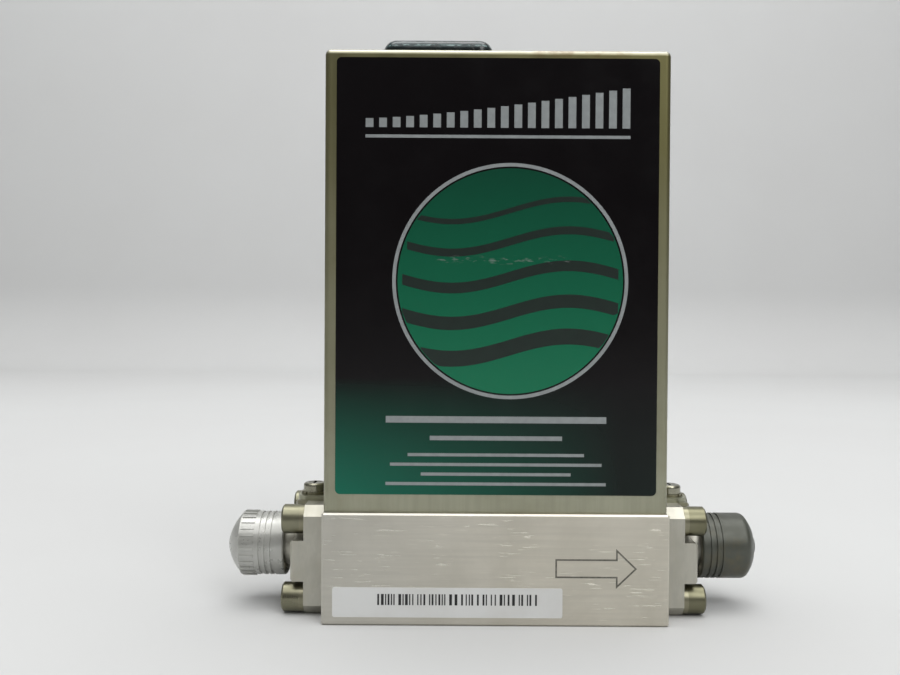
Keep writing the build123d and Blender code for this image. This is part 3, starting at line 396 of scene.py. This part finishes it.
def inset(outline, distance):
    """A counter-clockwise outline moved inwards by a distance."""
    least_cosine = 0.2
    count, result = len(outline), []
    for i in range(count):
        before, here, after = (Vector(outline[(i + k) % count]) for k in (-1, 0, 1))
        first, second = (here - before).normalized(), (after - here).normalized()
        normals = Vector((-first.y, first.x)), Vector((-second.y, second.x))
        middle = (normals[0] + normals[1]).normalized()
        result.append(tuple(here + middle * distance
                            / max(least_cosine, middle.dot(normals[0]))))
    return result


# Print on the front label, in layers that start inside what they lie on
LABEL_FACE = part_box("front_label")[0].y / MM
INK = 0.03
EMBED = 0.02
FIRST_LAYER = (LABEL_FACE + EMBED, LABEL_FACE - INK)
SECOND_LAYER = (LABEL_FACE - INK + 0.01, LABEL_FACE - 2 * INK)

# Rising level bars over a line
LEVELS = 20
LEVEL_START, LEVEL_STEP, LEVEL_WIDTH = -29.0, 3.05, 1.75
LEVEL_BASE = 112.6
LEVEL_LOWEST, LEVEL_GROWTH, LEVEL_CURVE = 2.0, 7.0, 1.4
LEVEL_LINE = {"x": 0.0, "z": 110.6, "width": 59.8, "height": 0.7}
bars = []
for i in range(LEVELS):
    tall = LEVEL_LOWEST + LEVEL_GROWTH * (i / (LEVELS - 1)) ** LEVEL_CURVE
    bars.append(bar(LEVEL_START + i * LEVEL_STEP, LEVEL_BASE + tall / 2, LEVEL_WIDTH, tall))
bars.append(bar(**LEVEL_LINE))
piece("label_level_bars", *prisms(bars, *FIRST_LAYER), silver_ink, "controller", "label_film")

# Disc with a ring around it
DISC = (3.0, 78.0)
DISC_RADIUS = 25.5
RING_START, RING_END = DISC_RADIUS + 0.4, DISC_RADIUS + 1.2
piece("label_disc", *prisms([circle(*DISC, DISC_RADIUS)], *FIRST_LAYER), green_ink,
      "controller", "label_film")
piece("label_ring", *band(circle(*DISC, RING_END), circle(*DISC, RING_START), *FIRST_LAYER),
      silver_ink, "controller", "label_film")

# Waves across the disc as height and width, each a row of strips kept inside its edge
WAVES = ((-15.0, 3.6), (-7.0, 3.0), (1.0, 2.4), (9.0, 1.8), (16.0, 1.2))
WAVE_STEPS = 48
WAVE_RISE, WAVE_STRETCH = 2.6, 8.5
EDGE_GAP = 0.2
THINNEST = 0.05
waves = []
for level, width in WAVES:
    for i in range(WAVE_STEPS):
        ends = []
        for k in (i, i + 1):
            x = -DISC_RADIUS + 2 * DISC_RADIUS * k / WAVE_STEPS
            reach = math.sqrt(max(0.0, DISC_RADIUS ** 2 - x ** 2)) - EDGE_GAP
            centre = level + WAVE_RISE * math.sin(x / WAVE_STRETCH)
            low = max(-reach, min(reach, centre - width / 2))
            high = max(-reach, min(reach, centre + width / 2))
            ends.append((DISC[0] + x, DISC[1] + low, DISC[1] + high))
        (x0, low0, high0), (x1, low1, high1) = ends
        if high0 - low0 > THINNEST and high1 - low1 > THINNEST:
            waves.append([(x0, low0), (x1, low1), (x1, high1), (x0, high0)])
piece("label_waves", *prisms(waves, *SECOND_LAYER), dark_ink, "controller", "label_film")

# Rules as height on the part, width and thickness
RULES = ((46.6, 50.0, 1.5), (42.4, 30.0, 1.0), (38.6, 40.0, 0.7), (36.4, 48.0, 0.7),
         (34.2, 34.0, 0.7), (32.0, 50.0, 0.7))
rules = [bar(0.0, z, width, thick) for z, width, thick in RULES]
piece("label_rules", *prisms(rules, *FIRST_LAYER), silver_ink, "controller", "label_film")

# Bars on the white label
STICKER_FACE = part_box("serial_label")[0].y / MM
STICKER_INK = 0.02
STRIPE_START, STRIPE_END = -26.6, 10.2
STRIPE_Z, STRIPE_HEIGHT = 6.0, 2.5
STRIPE_WIDTHS = (0.28, 0.28, 0.42, 0.62)
STRIPE_GAPS = (0.3, 0.42, 0.6, 0.85)
random.seed(7)
stripes, x = [], STRIPE_START
while x < STRIPE_END:
    width = random.choice(STRIPE_WIDTHS)
    stripes.append(bar(x + width / 2, STRIPE_Z, width, STRIPE_HEIGHT))
    x += width + random.choice(STRIPE_GAPS)
piece("sticker_bars", *prisms(stripes, STICKER_FACE + EMBED, STICKER_FACE - STICKER_INK),
      label_ink, "controller", "white_paper")

# Etched arrow on the block, pointing along the flow
ARROW = [(13.55, 11.05), (27.25, 11.05), (27.25, 8.65), (32.0, 13.2), (27.25, 17.75),
         (27.25, 15.35), (13.55, 15.35)]
ARROW_LINE = 0.38
ARROW_RISE = 0.015
BLOCK_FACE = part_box("base_block")[0].y / MM
piece("etched_arrow", *band(ARROW, inset(ARROW, ARROW_LINE), BLOCK_FACE + EMBED,
                            BLOCK_FACE - ARROW_RISE), etched, "controller", "block_steel")

# Threads on the glands: ends along the port axis, radii and shape of the ridge
PORT_Z = 14.35
PITCH = 1.411
THREAD_START, THREAD_END = 51.4, 59.4
THREAD_ROOT, THREAD_CREST = 6.6, 7.1
FOOT_SINK, LEAST_RISE = 0.12, 0.02
HALF_FOOT, HALF_CREST = 0.6, 0.1
STEPS_PER_TURN = 40
FADES_PER_TURN = 4.0


def thread(name, side, body):
    """A helical ridge about the port axis, which fades out at both ends."""
    turns = (THREAD_END - THREAD_START) / PITCH
    total = int(STEPS_PER_TURN * turns)
    foot = THREAD_ROOT - FOOT_SINK
    vertices, faces = [], []
    for i in range(total + 1):
        angle = 2 * math.pi * i / STEPS_PER_TURN
        centre = THREAD_START + PITCH * i / STEPS_PER_TURN
        fade = min(1.0, FADES_PER_TURN * i / STEPS_PER_TURN,
                   FADES_PER_TURN * (total - i) / STEPS_PER_TURN)
        top = THREAD_ROOT + LEAST_RISE + (THREAD_CREST - THREAD_ROOT) * fade
        for offset, radius in ((-HALF_FOOT, foot), (-HALF_CREST, top), (HALF_CREST, top),
                               (HALF_FOOT, foot)):
            vertices.append((side * (centre + offset), radius * math.cos(angle),
                             PORT_Z + radius * math.sin(angle) * side))
    for i in range(total):
        for k in range(3):
            faces.append([4 * i + k, 4 * i + k + 1, 4 * i + k + 5, 4 * i + k + 4])
        faces.append([4 * i + 3, 4 * i, 4 * i + 4, 4 * i + 7])
    faces += [[0, 1, 2, 3], [4 * total + k for k in (3, 2, 1, 0)]]
    piece(name, vertices, faces, fitting_steel, body, "fitting_steel")


thread("inlet_gland_thread", -1, "controller")
thread("outlet_gland_thread", 1, "controller")


# Floor and backdrop in one sweep, camera and lights

FLOOR_FRONT, FLOOR_END, BACKDROP_TOP = -3.0, 1.05, 3.0
BEND, BEND_STEPS = 0.12, 12
HALF_WIDTH = 4.0


def sweep(points, half_width, surface):
    """A smooth sheet from points in Y and Z, drawn out along X."""
    mesh = bpy.data.meshes.new("floor")
    mesh.from_pydata([(side * half_width, y, z) for y, z in points for side in (-1, 1)], [],
                     [[2 * i, 2 * i + 1, 2 * i + 3, 2 * i + 2] for i in range(len(points) - 1)])
    for face in mesh.polygons:
        face.use_smooth = True
    made = add_object("floor", mesh, surface)


cloth = coated("floor_cloth", (206, 207, 207), 0.9, spots=(3.0, 3.0, (201, 201, 201), 0.6))
curve = [(FLOOR_FRONT, 0.0), (FLOOR_END, 0.0)]
for step in range(1, BEND_STEPS + 1):
    angle = step * math.pi / (2 * BEND_STEPS)
    curve.append((FLOOR_END + BEND * math.sin(angle), BEND * (1 - math.cos(angle))))
curve.append((FLOOR_END + BEND, BACKDROP_TOP))
sweep(curve, HALF_WIDTH, cloth)

# Surroundings in grey, as place from below to above and level
SKY = ((0.0, 0.36), (0.49, 0.3), (0.54, 0.15), (0.7, 0.2), (1.0, 0.75))
SKY_BLUE = 0.98
world = bpy.data.worlds.new("studio")
bpy.context.scene.world = world
world.use_nodes = True
tree = world.node_tree
background = tree.nodes["Background"]
background.inputs["Strength"].default_value = 1.0
direction = tree.nodes.new("ShaderNodeTexCoord")
parts = tree.nodes.new("ShaderNodeSeparateXYZ")
height = tree.nodes.new("ShaderNodeMapRange")
height.inputs["From Min"].default_value = -1.0
ramp = tree.nodes.new("ShaderNodeValToRGB")
tree.links.new(direction.outputs["Generated"], parts.inputs["Vector"])
tree.links.new(parts.outputs["Z"], height.inputs["Value"])
tree.links.new(height.outputs["Result"], ramp.inputs["Fac"])
tree.links.new(ramp.outputs["Color"], background.inputs["Color"])
while len(ramp.color_ramp.elements) < len(SKY):
    ramp.color_ramp.elements.new(0.5)
for element, (place, level) in zip(ramp.color_ramp.elements, SKY):
    element.position = place
    element.color = (level, level, level * SKY_BLUE, 1.0)


def lamp(name, place, target, size, power):
    """A square lamp at a place, which points at a target."""
    light = bpy.data.lights.new(name, "AREA")
    light.shape = "SQUARE"
    light.size = size
    light.energy = power
    made = bpy.data.objects.new(name, light)
    made.location = place
    made.rotation_euler = (Vector(target) - Vector(place)).to_track_quat("-Z", "Y").to_euler()
    bpy.context.scene.collection.objects.link(made)


lamp("ceiling", place=(0.05, -0.3, 1.5), target=(0, 0, 0), size=1.8, power=15.0)
lamp("front_fill", place=(0.6, -1.05, 0.95), target=(0, 0, 0.06), size=0.7, power=5.2)
lamp("backdrop_wash", place=(0.0, 0.4, 1.5), target=(0, 1.3, 0.3), size=1.2, power=9.3)

IMAGE_WIDTH, FOCAL_LENGTH = 900.0, 947.0  # in pixels
SENSOR_WIDTH = 36.0
CAMERA_PLACE = (-0.01055, -0.232, 0.0685)
LOOK_UP, ROLL = math.radians(90 - 0.88), math.radians(0.36)
camera_data = bpy.data.cameras.new("camera")
camera_data.sensor_width = SENSOR_WIDTH
camera_data.lens = FOCAL_LENGTH / IMAGE_WIDTH * SENSOR_WIDTH
camera_data.clip_start = 0.01
camera = bpy.data.objects.new("camera", camera_data)
turn = Matrix.Rotation(LOOK_UP, 4, "X") @ Matrix.Rotation(ROLL, 4, "Z")
camera.matrix_world = Matrix.Translation(CAMERA_PLACE) @ turn
bpy.context.scene.collection.objects.link(camera)
bpy.context.scene.camera = camera
bpy.context.scene.view_settings.view_transform = "Standard"
